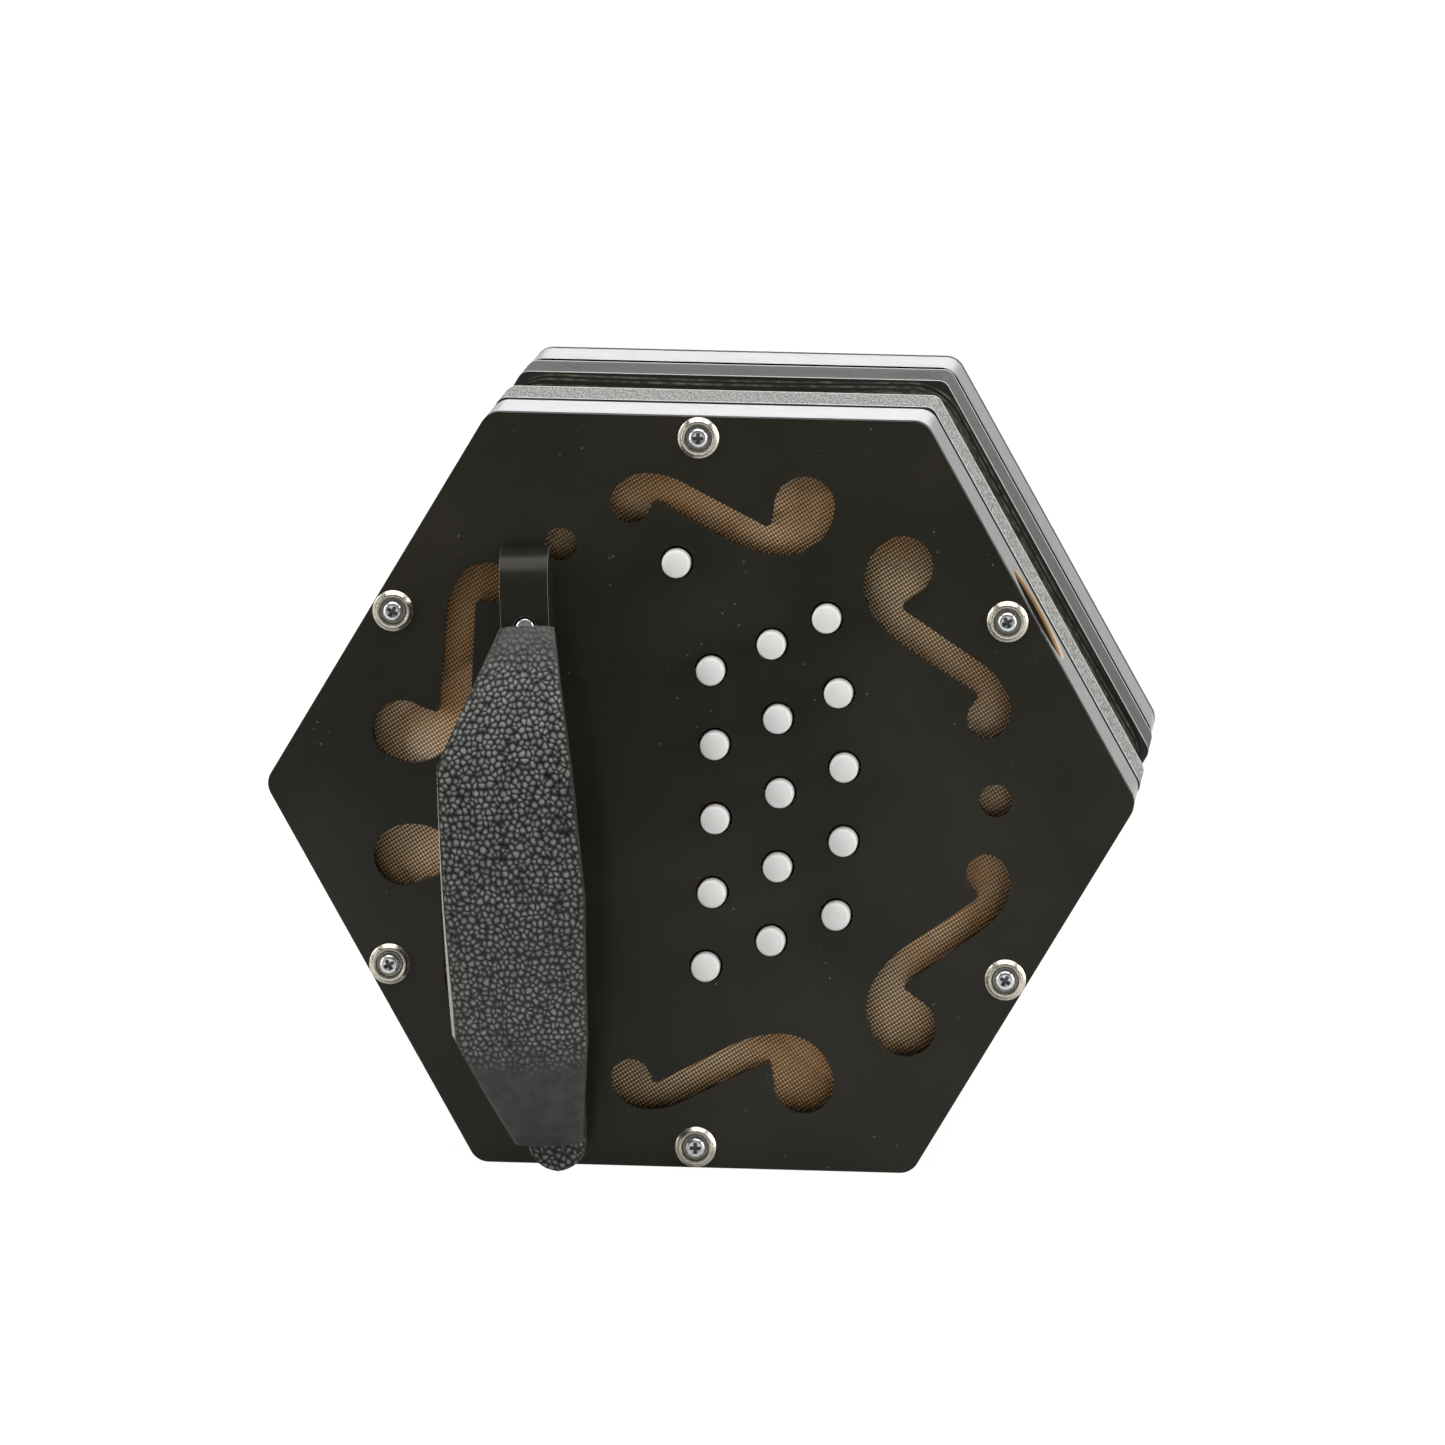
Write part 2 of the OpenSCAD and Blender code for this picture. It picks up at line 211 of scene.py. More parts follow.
def frame_cloth(side, dark, light, ribbing, specular):
    """Dark book cloth with fine ribs along the frame's depth, with painted highlight lines near both
    ends.

    dark and light are its tones at a glancing angle, where a painted sheen lightens it; seen square
    on it is black. ribbing is the ribs' height.
    """
    s = Shader(f"frame_cloth_{side}", dark, 0.5, specular=specular)
    ribs = s.noise(2400, 3, s.stretched((1, 0.09, 1)))
    split = s.add("ShaderNodeSeparateXYZ")
    s.join(s.place, split.inputs[0])
    low, high = (corner.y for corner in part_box(f"bellows_frame_{side}"))
    # Painted highlight lines along the frame's two end edges, brightest at a glancing angle.
    ends = [
        s.band(split.outputs["Y"], low + 1.5 * MM, low + 0.9 * MM),
        s.band(split.outputs["Y"], high - 1.5 * MM, high - 0.9 * MM),
    ]
    weave = s.band(ribs, 0.35, 0.65)
    # Painted sheen: the cloth is lighter where it is seen at a glancing angle.
    painted_sheen_share = s.band(s.add("ShaderNodeLayerWeight").outputs["Facing"], 0.55, 0.88)
    square_on = s.mix(weave, (0.012, 0.012, 0.011), (0.075, 0.076, 0.072))
    cloth = s.mix(painted_sheen_share, square_on, s.mix(weave, dark, light))
    painted_end_highlight = s.mix(painted_sheen_share, (0.12, 0.12, 0.11), (0.8, 0.8, 0.77))
    s.color(s.mix(s.math("MAXIMUM", *ends), cloth, painted_end_highlight))
    s.rough(s.band(ribs, 0.3, 0.7, 0.5, 0.8))
    s.bump(ribs, ribbing)
    s.bump(s.noise(2600, 3), 0.03 * MM)
    return s.material


def groove_black():
    s = Shader("groove_black", (0.012, 0.011, 0.01), 0.6)
    s.bump(s.noise(900, 3, s.stretched((1, 0.2, 1))), 0.04 * MM)
    return s.material


def bellows_cloth():
    """Dark facing cloth on the flanks of the folds."""
    s = Shader("bellows_cloth", (0.015, 0.014, 0.009), 0.8, specular=0.08)
    weave = s.math("MULTIPLY", s.noise(1400, 2, s.stretched((1, 0.3, 1))), s.noise(1900, 2))
    s.color(s.mix(s.band(s.noise(45, 4), 0.35, 0.65), (0.008, 0.007, 0.0045), (0.018, 0.015, 0.009)))
    s.bump(weave, 0.1 * MM)
    return s.material


def bellows_binding():
    """Thin goatskin over the folded edges: dark, with worn lines along them."""
    s = Shader("bellows_binding", (0.03, 0.027, 0.018), 0.6, specular=0.1)
    grain = s.cells(1700, "DISTANCE_TO_EDGE")
    lines = s.band(s.noise(300, 1, s.stretched((0.01, 1, 0.01))), 0.48, 0.56)
    specks = s.band(s.noise(420, 4), 0.4, 0.7)
    paler_tone = s.mix(specks, (0.02, 0.018, 0.012), (0.085, 0.08, 0.06))
    s.color(s.mix(lines, (0.005, 0.0045, 0.003), paler_tone))
    s.rough(s.band(s.noise(300, 3), 0.3, 0.7, 0.5, 0.7))
    s.bump(s.band(grain, 0.0, 0.3), 0.08 * MM)
    return s.material


SCREEN_PITCH = 0.74 * MM
SCREEN_TURN = math.radians(33)


def woven_screen():
    """Fine woven bronze screen: painted highlights on the knuckles where slanting threads cross, brown
    gaps between.
    """
    s = Shader("woven_screen", (0.45, 0.3, 0.18), 0.5, metallic=0.1)
    split = s.add("ShaderNodeSeparateXYZ")
    s.join(s.stretched((1, 1, 1), (0, SCREEN_TURN, 0)), split.inputs[0])
    waves = []
    for axis, share in (("X", 1.0), ("Z", 0.8)):
        phase = s.math("MULTIPLY", split.outputs[axis], 2 * math.pi * share / SCREEN_PITCH)
        waves.append(s.band(s.math("SINE", phase), -1, 1))
    knuckle = s.math("MULTIPLY", *waves)
    thread = s.math("MAXIMUM", *waves)
    warm = s.band(s.noise(26, 2), 0.4, 0.62)
    gap = s.mix(warm, (0.11, 0.062, 0.027), (0.14, 0.068, 0.021))
    wire = s.mix(warm, (0.33, 0.21, 0.107), (0.36, 0.185, 0.067))
    # Painted highlight on the knuckles.
    knuckle_painted_highlight = s.mix(warm, (1.0, 0.84, 0.57), (0.8, 0.51, 0.24))
    s.color(s.mix(s.band(knuckle, 0.3, 0.7), s.mix(s.band(thread, 0.5, 0.85), gap, wire), knuckle_painted_highlight))
    s.bump(knuckle, 0.15 * MM)
    return s.material


def grained_leather():
    """Black chrome leather with painted shade in its creases and a painted grey highlight on top of its
    pebbles.

    The pebbles are in the mesh, which also holds the shade value that these follow.
    """
    s = Shader("grained_leather", (0.03, 0.032, 0.029), 0.4, specular=0.35)
    shade = s.add("ShaderNodeAttribute", attribute_name="shade").outputs["Fac"]
    patches = s.band(s.noise(300, 4), 0.3, 0.7)
    skin = s.mix(patches, (0.024, 0.026, 0.022), (0.044, 0.047, 0.041))
    # Painted highlight: the paler tone on the pebbles' tops.
    paler_tone = s.mix(patches, (0.11, 0.116, 0.108), (0.22, 0.229, 0.213))
    # Painted shade: near black down in the creases.
    crease_painted_shade = s.mix(s.band(shade, 0.14, 0.42), (0.0008, 0.0009, 0.0008), skin)
    s.color(s.mix(s.band(shade, 0.54, 0.92), crease_painted_shade, paler_tone))
    s.rough(s.band(s.noise(1300, 3), 0.3, 0.7, 0.3, 0.46))
    s.bump(s.noise(3600, 4), 0.03 * MM)
    return s.material


def cut_leather():
    """The strap's raw cut edge and flesh side: pale grey-green and fibrous."""
    s = Shader("cut_leather", (0.3, 0.32, 0.26), 0.85, specular=0.2)
    s.color(s.mix(s.noise(1500, 5), (0.2, 0.22, 0.17), (0.42, 0.44, 0.36)))
    s.bump(s.noise(4200, 4), 0.1 * MM)
    s.surface.inputs["Sheen Weight"].default_value = 0.3
    return s.material


def white_button():
    """White moulded plastic, polished by fingertips."""
    s = Shader("white_button", (0.74, 0.74, 0.72), 0.24, coat=0.2)
    s.surface.inputs["Subsurface Weight"].default_value = 0.15
    s.surface.inputs["Subsurface Scale"].default_value = 1 * MM
    return s.material


def metal(name, base, roughness, scratches):
    """Plated metal with fine wear. scratches is the height of its marks."""
    s = Shader(name, base, roughness, metallic=1.0)
    fine = s.noise(2600, 3, s.stretched((1, 0.25, 1)))
    s.rough(s.band(fine, 0.3, 0.75, roughness * 0.7, roughness * 1.5))
    s.color(s.mix(s.band(s.noise(700, 4), 0.45, 0.75), base, tuple(c * 0.8 for c in base)))
    s.bump(fine, scratches)
    return s.material


def plain(name, base, roughness, specular=0.5):
    return Shader(name, base, roughness, specular=specular).material


def bare_wood(name, dark, light):
    """Bare straight-grained wood."""
    s = Shader(name, light, 0.6)
    grain = s.noise(60, 6, s.stretched((1, 8, 8)))
    s.color(s.mix(s.band(grain, 0.35, 0.65), dark, light))
    s.bump(grain, 0.06 * MM)
    return s.material


def pad_leather():
    s = Shader("pad_leather", (0.5, 0.4, 0.3), 0.9, specular=0.2)
    s.color(s.mix(s.noise(900, 4), (0.36, 0.28, 0.2), (0.6, 0.5, 0.4)))
    s.bump(s.noise(2400, 4), 0.1 * MM)
    return s.material


def gallery():
    """Every material by name, in place of the plain ones that come with the frame."""
    for imported in list(bpy.data.materials):
        bpy.data.materials.remove(imported)
    made = [
        black_face(),
        black_lacquer("side_lacquer", (0.004, 0.004, 0.004), 0.1, 0.02 * MM, 0.3, 0.5),
        black_lacquer("rail_lacquer", (0.016, 0.015, 0.011), 0.26, 0.0, 0.0, 0.16),
        hole_wood(),
        # A painted highlight along the hand rail's rounded edges.
        plain("rubbed_edge", (0.26, 0.26, 0.235), 0.3),
        # Painted shade in the bolts' recesses.
        plain("grey_painted_recess_shade", (0.17, 0.17, 0.17), 0.5),
        # A painted highlight along the boxes' and frames' rounded edges.
        plain("worn_edge", (0.24, 0.24, 0.225), 0.3),
        plain("matt_black", (0.006, 0.006, 0.005), 0.5, 0.1),
        groove_black(),
        bellows_cloth(),
        bellows_binding(),
        woven_screen(),
        grained_leather(),
        cut_leather(),
        white_button(),
        pad_leather(),
        # The two frames are the same cloth: the right-hand one has a brighter painted sheen than the
        # left-hand one.
        frame_cloth("right", (0.07, 0.07, 0.068), (0.46, 0.46, 0.44), 0.12 * MM, 0.3),
        frame_cloth("left", (0.042, 0.046, 0.044), (0.13, 0.138, 0.133), 0.03 * MM, 0.15),
        bare_wood("plain_wood", (0.36, 0.2, 0.09), (0.58, 0.38, 0.2)),
        metal("nickel", (0.62, 0.58, 0.49), 0.28, 0.01 * MM),
        # A darker copy of the nickel: painted shade in the washers' cups.
        metal("nickel_painted_recess_shade", (0.28, 0.265, 0.23), 0.4, 0.02 * MM),
        metal("zinc_steel", (0.7, 0.71, 0.72), 0.26, 0.02 * MM),
        metal("brass", (0.78, 0.58, 0.27), 0.3, 0.01 * MM),
    ]
    return {m.name: m for m in made}


MATERIALS = gallery()

# ---------------------------------------------------------------- CAD nodes

# Node stem: material, width of its rounded edges, and for some a paler material that paints a highlight
# along those edges.
FINISH = {
    "end_plate": ("black_face", 0.6 * MM),
    "end_box": ("side_lacquer", 0.3 * MM, "worn_edge"),
    "bellows_frame_right": ("frame_cloth_right", 0.35 * MM, "worn_edge"),
    "bellows_frame_left": ("frame_cloth_left", 0.35 * MM, "worn_edge"),
    "action_board": ("groove_black", 0),
    "hand_rail": ("rail_lacquer", 0.5 * MM, "rubbed_edge"),
    "rail_screws": ("zinc_steel", 0.12 * MM),
    "end_bolts": ("zinc_steel", 0.12 * MM),
    "cup_washers": ("nickel", 0.08 * MM),
    "fret_screen": ("woven_screen", 0),
    "reed_pan": ("plain_wood", 0),
    "reeds": ("brass", 0),
    "key_levers": ("brass", 0),
    "button": ("white_button", 0.2 * MM),
    "air_button": ("white_button", 0.2 * MM),
    "air_lever": ("brass", 0),
    "air_pad": ("pad_leather", 0),
}
SHARP = math.radians(32)
WELD_DISTANCE = 0.002 * MM


def finish_node(name, obj):
    """A CAD node's materials and its rounded edges, some with a painted highlight along them."""
    stem = name if name in FINISH else name.split("_left")[0].split("_right")[0]
    material, rounding, *paler_tone = FINISH[stem]
    obj.data.materials.clear()
    for made in (material, *paler_tone):
        obj.data.materials.append(MATERIALS[made])
    if "custom_normal" in obj.data.attributes:
        obj.data.attributes.remove(obj.data.attributes["custom_normal"])
    obj.data.set_sharp_from_angle(angle=SHARP)
    weld = obj.modifiers.new("weld", "WELD")
    weld.merge_threshold = WELD_DISTANCE
    if rounding:
        bevel = obj.modifiers.new("bevel", "BEVEL")
        bevel.width = rounding
        bevel.segments = 3
        bevel.limit_method = "ANGLE"
        bevel.angle_limit = SHARP
        bevel.harden_normals = True
        bevel.use_clamp_overlap = True
        # The bevel's faces take the paler material where one is given: a painted highlight.
        bevel.material = 1 if paler_tone else -1


for name, obj in nodes.items():
    if name != "bellows" and not name.startswith("hand_strap"):
        finish_node(name, obj)


# The side hole: a radius that holds all of its bore, and how far along the wall its middle lies.
SIDE_HOLE_R = 12.9 * MM
SIDE_HOLE_AT = -2.2 * MM


def line_side_hole():
    """The hole in the right-hand box wall is cut through to bare wood."""
    box = nodes["end_box_right"]
    low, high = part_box("end_box_right")
    box.data.materials.append(MATERIALS["hole_wood"])
    axis = UPPER_RIGHT
    along = Vector((-axis.z, 0, axis.x))
    middle = Vector((0, (low.y + high.y) / 2, APOTHEM)) + along * SIDE_HOLE_AT
    for face in box.data.polygons:
        away = box.matrix_world @ face.center - middle
        radius = (away - axis * away.dot(axis)).length
        if away.dot(axis) > 0 and radius < SIDE_HOLE_R and abs(face.normal.dot(axis)) < 0.1:
            face.material_index = len(box.data.materials) - 1


def dull_plate_sides():
    """The plates' outer sides are plain matt black."""
    for side in SIDES:
        plate = nodes[f"end_plate_{side}"]
        plate.data.materials.append(MATERIALS["matt_black"])
        for face in plate.data.polygons:
            spot = plate.matrix_world @ face.center - Vector((0, 0, APOTHEM))
            ways = [math.radians(a) for a in range(30, 360, 60)]
            reach = max(spot.x * math.cos(a) + spot.z * math.sin(a) for a in ways)
            if abs(face.normal.y) < 0.5 and reach > APOTHEM - 2 * MM:
                face.material_index = 1


def darken_frame_ends():
    """The frames' end faces, which look along the instrument, get painted shade: black."""
    for side in SIDES:
        end_frame = nodes[f"bellows_frame_{side}"]
        end_frame.data.materials.append(MATERIALS["groove_black"])
        for face in end_frame.data.polygons:
            if abs(face.normal.y) > 0.7:
                face.material_index = 2


def bolt_middles():
    """The bolts' middles (x, z): those of the six groups that the washers' points fall into."""
    washers = nodes["cup_washers_right"]
    groups = {}
    for vertex in washers.data.vertices:
        p = washers.matrix_world @ vertex.co
        turn = round((math.degrees(math.atan2(p.z - APOTHEM, p.x)) - 30) / 60) % 6
        groups.setdefault(turn, []).append((p.x, p.z))
    middles = []
    for group in groups.values():
        across, up = zip(*group)
        middles.append(Vector(((min(across) + max(across)) / 2, (min(up) + max(up)) / 2)))
    return middles


BOLTS = bolt_middles()


def paint_recess_shade(name, reach, depth, material):
    """Paints shade on a fixing's faces that lie within reach of a bolt's axis and deeper than depth."""
    for side in SIDES:
        obj = nodes[f"{name}_{side}"]
        low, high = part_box(f"{name}_{side}")
        top = -low.y if side == "right" else high.y
        obj.data.materials.append(MATERIALS[material])
        for face in obj.data.polygons:
            spot = obj.matrix_world @ face.center
            near = min((Vector((spot.x, spot.z)) - bolt).length for bolt in BOLTS)
            if near < reach and top - abs(spot.y) > depth:
                face.material_index = 1


line_side_hole()
dull_plate_sides()
darken_frame_ends()
# Painted shade in the washers' cups and the bolts' recesses.
paint_recess_shade("cup_washers", 3.25 * MM, 0.35 * MM, "nickel_painted_recess_shade")
paint_recess_shade("end_bolts", 1.5 * MM, 0.25 * MM, "grey_painted_recess_shade")

# ---------------------------------------------------------------- meshes


def add_mesh(name, points, faces, materials, slots):
    """A smooth-shaded object. slots holds each face's place in its list of materials."""
    mesh = bpy.data.meshes.new(name)
    mesh.from_pydata([tuple(p) for p in points], [], faces)
    for material in materials:
        mesh.materials.append(MATERIALS[material])
    mesh.polygons.foreach_set("material_index", slots)
    mesh.shade_smooth()
    obj = bpy.data.objects.new(name, mesh)
    bpy.context.scene.collection.objects.link(obj)
    return obj


def smooth(x, low, high):
    """A smooth step from 0 at low to 1 at high."""
    t = min(1.0, max(0.0, (x - low) / (high - low)))
    return t * t * (3 - 2 * t)


# ---------------------------------------------------------------- bellows

FOLDS = 7
# Distances of the folds' outsides from the bellows' middle line: at the peaks, in the valleys, and
# where the two end folds are glued to their frames.
PEAK = APOTHEM - 0.9 * MM
VALLEY = APOTHEM - 24.0 * MM
SEAT = APOTHEM - 8.0 * MM
FOLD_STEPS = 24
CORNER_STEPS = 8
EDGE_STEPS = 10
CARD_T = 0.7 * MM
VALLEY_CORNER_R = 4 * MM
PEAK_CORNER_R = 13 * MM
# How round a peak is, as a share of half a fold, and how far each side is pulled in at the peaks.
PEAK_SOFTNESS = 0.06
SIDE_DENT = 0.5 * MM
# The binding covers a fold up to this far from its peak and from this far on, as shares of a fold.
PEAK_BINDING = 0.09
VALLEY_BINDING = 0.46


def compass(angle):
    return Vector((math.cos(angle), math.sin(angle)))


def hexagon_loop(apothem, corner_r, dent):
    """Points round a hexagon with round corners; dent pulls the middle of each edge inwards."""
    loop = []
    reach = (apothem - corner_r) / math.cos(HALF_SIDE)
    for k in range(6):
        corner = math.radians(60 * k)
        for i in range(CORNER_STEPS + 1):
            turn = corner + HALF_SIDE * (2 * i / CORNER_STEPS - 1)
            loop.append(compass(corner) * reach + compass(turn) * corner_r)
        start = loop[-1].copy()
        next_corner = math.radians(60 * (k + 1))
        outward = compass(next_corner - HALF_SIDE)
        end = compass(next_corner) * reach + outward * corner_r
        for i in range(1, EDGE_STEPS):
            t = i / EDGE_STEPS
            loop.append(start.lerp(end, t) - outward * dent * math.sin(math.pi * t))
    return loop


def bellows_fold(k):
    """One fold, a peak between two valleys."""
    pitch = 2 * BELLOWS_HALF / FOLDS
    low = BELLOWS_HALF - pitch * k
    widest = math.hypot(1, PEAK_SOFTNESS)
    points, faces, slots = [], [], []
    for j in range(FOLD_STEPS + 1):
        t = j / FOLD_STEPS
        swing = math.hypot(2 * t - 1, PEAK_SOFTNESS)
        rise = (widest - swing) / (widest - PEAK_SOFTNESS)
        glued = k == 0 and t < 0.5 or k == FOLDS - 1 and t > 0.5
        root = SEAT if glued else VALLEY
        apothem = root + (PEAK - root) * rise
        corner_r = VALLEY_CORNER_R + (PEAK_CORNER_R - VALLEY_CORNER_R) * rise
        for p in hexagon_loop(apothem, corner_r, SIDE_DENT * rise):
            points.append((p.x, low - pitch * t, p.y + APOTHEM))
    around = len(points) // (FOLD_STEPS + 1)
    for j in range(FOLD_STEPS):
        from_peak = abs((j + 0.5) / FOLD_STEPS - 0.5)
        bound = from_peak < PEAK_BINDING or from_peak > VALLEY_BINDING
        for i in range(around):
            n = (i + 1) % around
            a, b = j * around, (j + 1) * around
            faces.append((a + i, b + i, b + n, a + n))
            slots.append(1 if bound else 0)
    obj = add_mesh(f"bellows_fold_{k + 1}", points, faces, ["bellows_cloth", "bellows_binding"], slots)
    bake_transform(obj)
    card = obj.modifiers.new("card", "SOLIDIFY")
    card.thickness = CARD_T
    card.offset = -1
    return obj


fold_objects = [bellows_fold(k) for k in range(FOLDS)]
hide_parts("bellows")


# ---------------------------------------------------------------- hand straps

# The rail leans by the line between its two screws' middles.
HEAD_D = 5.0 * MM
screws_low, screws_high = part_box("rail_screws_right")
screws_apart = screws_high - screws_low
RAIL_LEAN = math.atan2(screws_apart.x - HEAD_D, screws_apart.z - HEAD_D)
RAIL_MIDDLE = (screws_low + screws_high) / 2
RAIL_TOP = -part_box("hand_rail_right")[0].y
# The screws' middle, as a place along the rail.
RAIL_B = -8.0 * MM

STRAP_T = 2.5 * MM
STRAP_CROWN = -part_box("hand_strap_right")[0].y - STRAP_T
STRAP_FOOT = RAIL_TOP + STRAP_T
STRAP_ENDS = (41 * MM, -84 * MM)
# Plan of the strap in millimetres: place along the rail, its far and near edges across it, and how
# much of the slanting cut shows along the far edge.
STRAP_PLAN = [
    (41, -5.9, 7.6, 0.1),
    (10.5, -21.0, 11.8, 0.2),
    (3.7, -20.9, 12.5, 0.3),
    (-21.4, -20.5, 14.4, 0.5),
    (-46, -20.0, 13.6, 1.0),
    (-55.5, -19.8, 13.3, 0.9),
    (-57.5, -18.8, 13.2, 0.35),
    (-84, -7.2, 10.0, 0.5),
]
# The tail: its middle across the rail, its half width, the places of its two ends along the rail,
# its thickness, its height above the rail and its far edge's slanting cut.
TAIL_MIDDLE = 3.3 * MM
TAIL_HALF = 7.15 * MM
TAIL_TOP = -60 * MM
TAIL_TIP = -92 * MM
TAIL_T = STRAP_T - 0.7 * MM
TAIL_LIFT = 0.75 * MM
TAIL_CUT = 0.3 * MM
# Rows of points along its straight part and round its tip, and the turn from one tip row to the next.
TAIL_STEPS = 70
TIP_STEPS = 31
TIP_STEP = math.radians(2.9)

LEATHER_STEP = 0.3 * MM
PEBBLE = 1.5 * MM
PEBBLE_DEPTH = 0.4 * MM
# In pebbles: the range over which a pebble's middle may stray, and how much the rows wander. The
# wandering changes over WANDER_SIZE. A larger PEBBLE_ROUND gives smaller, rounder tops.
PEBBLE_STRAY = 0.8
PEBBLE_WANDER = 0.4
WANDER_SIZE = 2 * MM
PEBBLE_ROUND = 0.8
# The shade of leather without pebbles.
SMOOTH_SHADE = 0.42
# A strip's edges sit lower than its middle, waver, and are pared thinner. Its near edge and its low
# end are cut on a slant.
DOME = 0.7 * MM
FRAY = 0.1 * MM
PARING = 0.3 * MM
NEAR_CUT = 0.2 * MM
END_SLANT = 0.6 * MM

# noise.noise_vector() starts from the clock unless its seed is set.
noise.seed_set(7)


def rail_frame(side, a, b, w):
    """A point across (a) and along (b) the hand rail, in the row frame."""
    u = RAIL_MIDDLE.x + a * math.cos(RAIL_LEAN) - (b - RAIL_B) * math.sin(RAIL_LEAN)
    v = RAIL_MIDDLE.z - APOTHEM + a * math.sin(RAIL_LEAN) + (b - RAIL_B) * math.cos(RAIL_LEAN)
    return place(side, u, v, w)


def strap_edges(b):
    """The strap's far and near edges and its slanting cut, at a place along the rail."""
    for first, second in zip(STRAP_PLAN, STRAP_PLAN[1:]):
        if b / MM >= second[0]:
            break
    t = min(1, max(0, (first[0] - b / MM) / (first[0] - second[0])))
    return [(p + (q - p) * t) * MM for p, q in zip(first[1:], second[1:])]


def pebbles(x, y, seed):
    """Height of the leather's grain, 0 in its creases to 1 on its rounded pebbles."""
    bend = noise.noise_vector(Vector((x / WANDER_SIZE, y / WANDER_SIZE, seed))) * PEBBLE_WANDER
    x, y = x / PEBBLE + bend.x, y / PEBBLE + bend.y
    row = round(y)
    distances = []
    for j in (row - 1, row, row + 1):
        shift = 0.5 * (j % 2)
        column = round(x - shift)
        for i in (column - 1, column, column + 1):
            stray = noise.cell_vector(Vector((i + 0.5, j + 0.5, seed)))
            middle_x = i + shift + PEBBLE_STRAY * (stray.x - 0.5)
            middle_y = j + PEBBLE_STRAY * (stray.y - 0.5)
            distances.append(math.hypot(x - middle_x, y - middle_y))
    near, next_near = sorted(distances)[:2]
    fall = 1 - min(1.0, (next_near - near) / (next_near + near) / PEBBLE_ROUND)
    return 1 - fall * fall


def ribbon(name, side, rows, thickness, seed, grain):
    """A leather strip. rows: far edge, near edge, slanting cut, place along, height, outward normal.

    grain tells how strong the pebbles are at a place along the strip. They fade out at its edges.
    """
    across = int(max(row[1] - row[0] for row in rows) / LEATHER_STEP)
    outer, inner, shades, run = [], [], [], 0.0
    for j, (far, near, cut, b, w, (nb, nw)) in enumerate(rows):
        fray = FRAY * noise.noise(Vector((j * 0.4, 0, seed)))
        back = END_SLANT * nw if j == len(rows) - 1 else 0
        run += math.dist(rows[j - 1][3:5], (b, w)) if j else 0
        strength = grain(b)
        low, high = far + fray, near - fray
        for i in range(across + 1):
            t = i / across
            sag = -DOME * (2 * t - 1) ** 2
            a = low + (high - low) * t
            inner.append(rail_frame(side, a, b + nb * sag, w + nw * sag))
            edge = min(t, 1 - t) * (near - far)
            height = pebbles(a, run, seed)
            fade = strength * smooth(edge, 0, 0.5 * MM)
            shades.append(SMOOTH_SHADE + (height - SMOOTH_SHADE) * fade)
            sunk = PEBBLE_DEPTH * (1 - height) * strength * smooth(edge, 0, 0.6 * MM)
            lift = thickness + sag - sunk - PARING * (1 - smooth(edge, 0, 1.2 * MM))
            a = low + cut + (high - NEAR_CUT - low - cut) * t
            outer.append(rail_frame(side, a, b + back + nb * lift, w + nw * lift))
    columns, count = across + 1, len(outer)
    faces, slots = [], []

    def quad(a, b, c, d, material):
        faces.append((a, b, c, d) if side == "right" else (d, c, b, a))
        slots.append(material)

    for j in range(len(rows) - 1):
        for i in range(across):
            a = j * columns + i
            b = a + columns
            quad(a, a + 1, b + 1, b, 0)
            quad(count + a, count + b, count + b + 1, count + a + 1, 1)
        for i, flip, material in ((0, False, 1), (across, True, 0)):
            a = j * columns + i
            b = a + columns
            side_face = (a, b, count + b, count + a)
            quad(*(side_face[::-1] if flip else side_face), material)
    for j, flip in ((0, True), (len(rows) - 1, False)):
        for i in range(across):
            a = j * columns + i
            end_face = (a, a + 1, count + a + 1, count + a)
            quad(*(end_face[::-1] if flip else end_face), 1)
    obj = add_mesh(name, outer + inner, faces, ["grained_leather", "cut_leather"], slots)
    obj.data.set_sharp_from_angle(angle=math.radians(60))
    shade = obj.data.attributes.new("shade", "FLOAT", "POINT")
    shade.data.foreach_set("value", shades + [SMOOTH_SHADE] * count)
    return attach(obj, BODY[side])


def strap_rows():
    """The strap's arc from its top end to its low end."""
    half = (STRAP_ENDS[0] - STRAP_ENDS[1]) / 2
    rise = STRAP_CROWN - STRAP_FOOT
    radius = (half * half + rise * rise) / (2 * rise)
    middle = (STRAP_ENDS[0] + STRAP_ENDS[1]) / 2
    reach = math.asin(half / radius)
    steps = int(2 * reach * radius / LEATHER_STEP)
    rows = []
    for j in range(steps + 1):
        angle = reach - 2 * reach * j / steps
        along, out = math.sin(angle), math.cos(angle)
        b = middle + radius * along
        rows.append((*strap_edges(b), b, STRAP_CROWN - radius + radius * out, (along, out)))
    return rows


def strap_grain(b):
    """The grain fades to smooth leather at both ends of the strap."""
    return smooth(b, -70 * MM, -54 * MM) * (1 - 0.7 * smooth(b, 28 * MM, 40 * MM))


def tail_rows():
    """The narrow inner strap: along the rail's top, with a half-round end."""
    middle = TAIL_TIP + TAIL_HALF
    straight = [TAIL_TOP + (middle - TAIL_TOP) * j / TAIL_STEPS for j in range(TAIL_STEPS)]
    bend = [middle - TAIL_HALF * math.sin(TIP_STEP * j) for j in range(TIP_STEPS)]
    rows = []
    for b in straight + bend:
        past = max(0.0, middle - b)
        half = math.sqrt(TAIL_HALF**2 - past**2)
        edges = (TAIL_MIDDLE - half, TAIL_MIDDLE + half)
        rows.append((*edges, TAIL_CUT, b, RAIL_TOP + TAIL_LIFT, (0.0, 1.0)))
    return rows


for side, seed in (("right", 3.0), ("left", 11.0)):
    cover = ribbon(f"strap_cover_{side}", side, strap_rows(), STRAP_T, seed, strap_grain)
    ribbon(f"strap_tail_{side}", side, tail_rows(), TAIL_T, seed + 4, lambda b: 1.0)
    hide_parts(f"hand_strap_{side}")


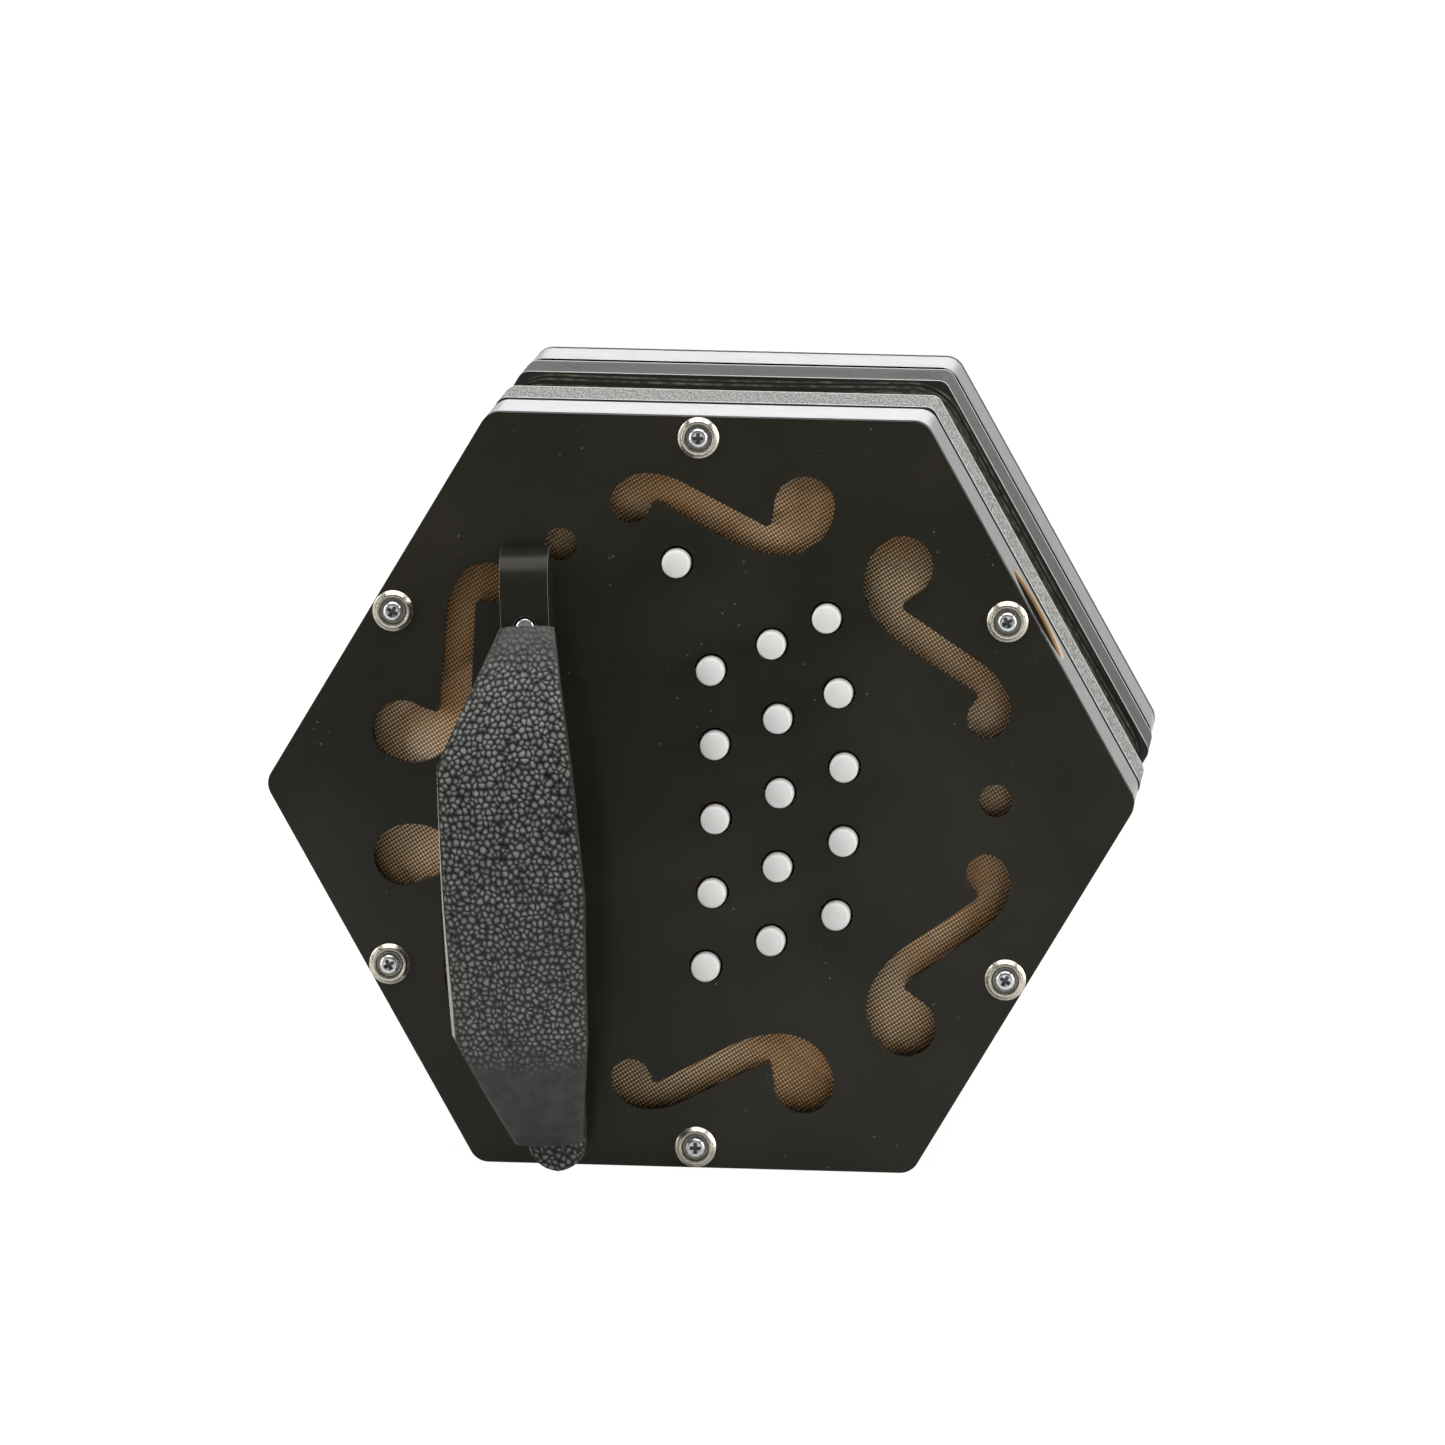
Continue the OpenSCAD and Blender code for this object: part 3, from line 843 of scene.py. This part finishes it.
# ---------------------------------------------------------------- room, light and camera

# The camera: its turn round the object, height, roll and distance, and how far the middle of the
# right-hand face lies from the middle of its view.
AZIMUTH = math.radians(3.7)
ELEVATION = math.radians(7.4)
ROLL = math.radians(-0.96)
DISTANCE = 2.932
LENS_MM = 299
AIM_RIGHT = 5.5 * MM
AIM_UP = 17.4 * MM

FLOOR_Z = -0.3 * MM
FLOOR_FRONT = -0.9
SWEEP_R = 1.2
SWEEP_STEPS = 8
WALL_TOP = 6.0
FLOOR_HALF = 6.0
GLOW = (1.12, 1.12, 1.12, 1)
GLOW_SHARE = 0.86


def add_floor():
    """A pale floor that sweeps up into a backdrop. It looks white in front and is clear from behind."""
    profile = [(FLOOR_FRONT, FLOOR_Z), (SWEEP_R, FLOOR_Z)]
    for i in range(1, SWEEP_STEPS + 1):
        a = math.radians(90 * i / SWEEP_STEPS)
        profile.append((SWEEP_R + SWEEP_R * math.sin(a), SWEEP_R - SWEEP_R * math.cos(a)))
    profile.append((2 * SWEEP_R, WALL_TOP))
    points = [(x, y, z) for y, z in profile for x in (-FLOOR_HALF, FLOOR_HALF)]
    faces = [(2 * i, 2 * i + 1, 2 * i + 3, 2 * i + 2) for i in range(len(profile) - 1)]
    mesh = bpy.data.meshes.new("floor")
    mesh.from_pydata(points, [], faces)
    mesh.shade_smooth()
    s = Shader("floor_white", (0.82, 0.82, 0.82), 0.6, specular=0.2)
    glow = s.add("ShaderNodeEmission")
    glow.inputs["Color"].default_value = GLOW
    share = s.math("MULTIPLY", s.add("ShaderNodeLightPath").outputs["Is Camera Ray"], GLOW_SHARE)
    blend = s.add("ShaderNodeMixShader")
    s.join(share, blend.inputs[0])
    s.join(s.surface.outputs[0], blend.inputs[1])
    s.join(glow.outputs[0], blend.inputs[2])
    one_way = s.add("ShaderNodeMixShader")
    s.join(s.add("ShaderNodeNewGeometry").outputs["Backfacing"], one_way.inputs[0])
    s.join(blend.outputs[0], one_way.inputs[1])
    s.join(s.add("ShaderNodeBsdfTransparent").outputs[0], one_way.inputs[2])
    s.join(one_way.outputs[0], s.tree.nodes["Material Output"].inputs["Surface"])
    mesh.materials.append(s.material)
    floor = bpy.data.objects.new("floor", mesh)
    bpy.context.scene.collection.objects.link(floor)


def add_area_light(name, location, target, size, power, spread=180):
    """A rectangular soft box that looks at target. power is in watts, spread in degrees."""
    data = bpy.data.lights.new(name, "AREA")
    data.shape = "RECTANGLE"
    data.size, data.size_y = size
    data.energy = power
    data.spread = math.radians(spread)
    light = bpy.data.objects.new(name, data)
    light.location = location
    light.rotation_euler = (Vector(target) - Vector(location)).to_track_quat("-Z", "Y").to_euler()
    bpy.context.scene.collection.objects.link(light)


def add_lights():
    middle = (0, 0, APOTHEM)
    add_area_light("top_box", (0.0, -0.2, 1.6), middle, (1.8, 1.2), 24)
    add_area_light("left_box", (-1.6, -0.7, 0.5), middle, (0.4, 1.5), 17)
    add_area_light("right_box", (1.6, -0.6, 0.6), middle, (0.4, 1.5), 19)
    add_area_light("backdrop_light", (0.0, 1.3, 1.4), (0, 2 * SWEEP_R, 0.6), (2.4, 0.3), 12, 60)


def add_world():
    """Even dim light all round, which the camera itself sees as white."""
    world = bpy.data.worlds.new("studio")
    world.use_nodes = True
    background = world.node_tree.nodes["Background"]
    background.inputs[0].default_value = (1, 1, 1, 1)
    camera_ray = world.node_tree.nodes.new("ShaderNodeLightPath").outputs["Is Camera Ray"]
    strength = world.node_tree.nodes.new("ShaderNodeMapRange")
    strength.inputs["To Min"].default_value = 0.16
    strength.inputs["To Max"].default_value = 1.0
    world.node_tree.links.new(camera_ray, strength.inputs["Value"])
    world.node_tree.links.new(strength.outputs[0], background.inputs[1])
    bpy.context.scene.world = world


def add_camera():
    """The camera stands in front of the right-hand end, a little above and to the right of it."""
    back = Vector((
        math.sin(AZIMUTH) * math.cos(ELEVATION),
        -math.cos(AZIMUTH) * math.cos(ELEVATION),
        math.sin(ELEVATION),
    ))
    right = Vector((0, 0, 1)).cross(back).normalized()
    roll = Matrix.Rotation(-ROLL, 3, back)
    right = roll @ right
    up = back.cross(right)
    data = bpy.data.cameras.new("camera")
    data.sensor_width = 36
    data.lens = LENS_MM
    camera = bpy.data.objects.new("camera", data)
    at = place("right", 0, 0, FACE) + right * AIM_RIGHT + up * AIM_UP + back * DISTANCE
    turn = Matrix((right, up, back)).transposed().to_4x4()
    camera.matrix_world = Matrix.Translation(at) @ turn
    bpy.context.scene.collection.objects.link(camera)
    bpy.context.scene.camera = camera


add_floor()
add_lights()
add_world()
add_camera()
bpy.context.scene.view_settings.view_transform = "Standard"
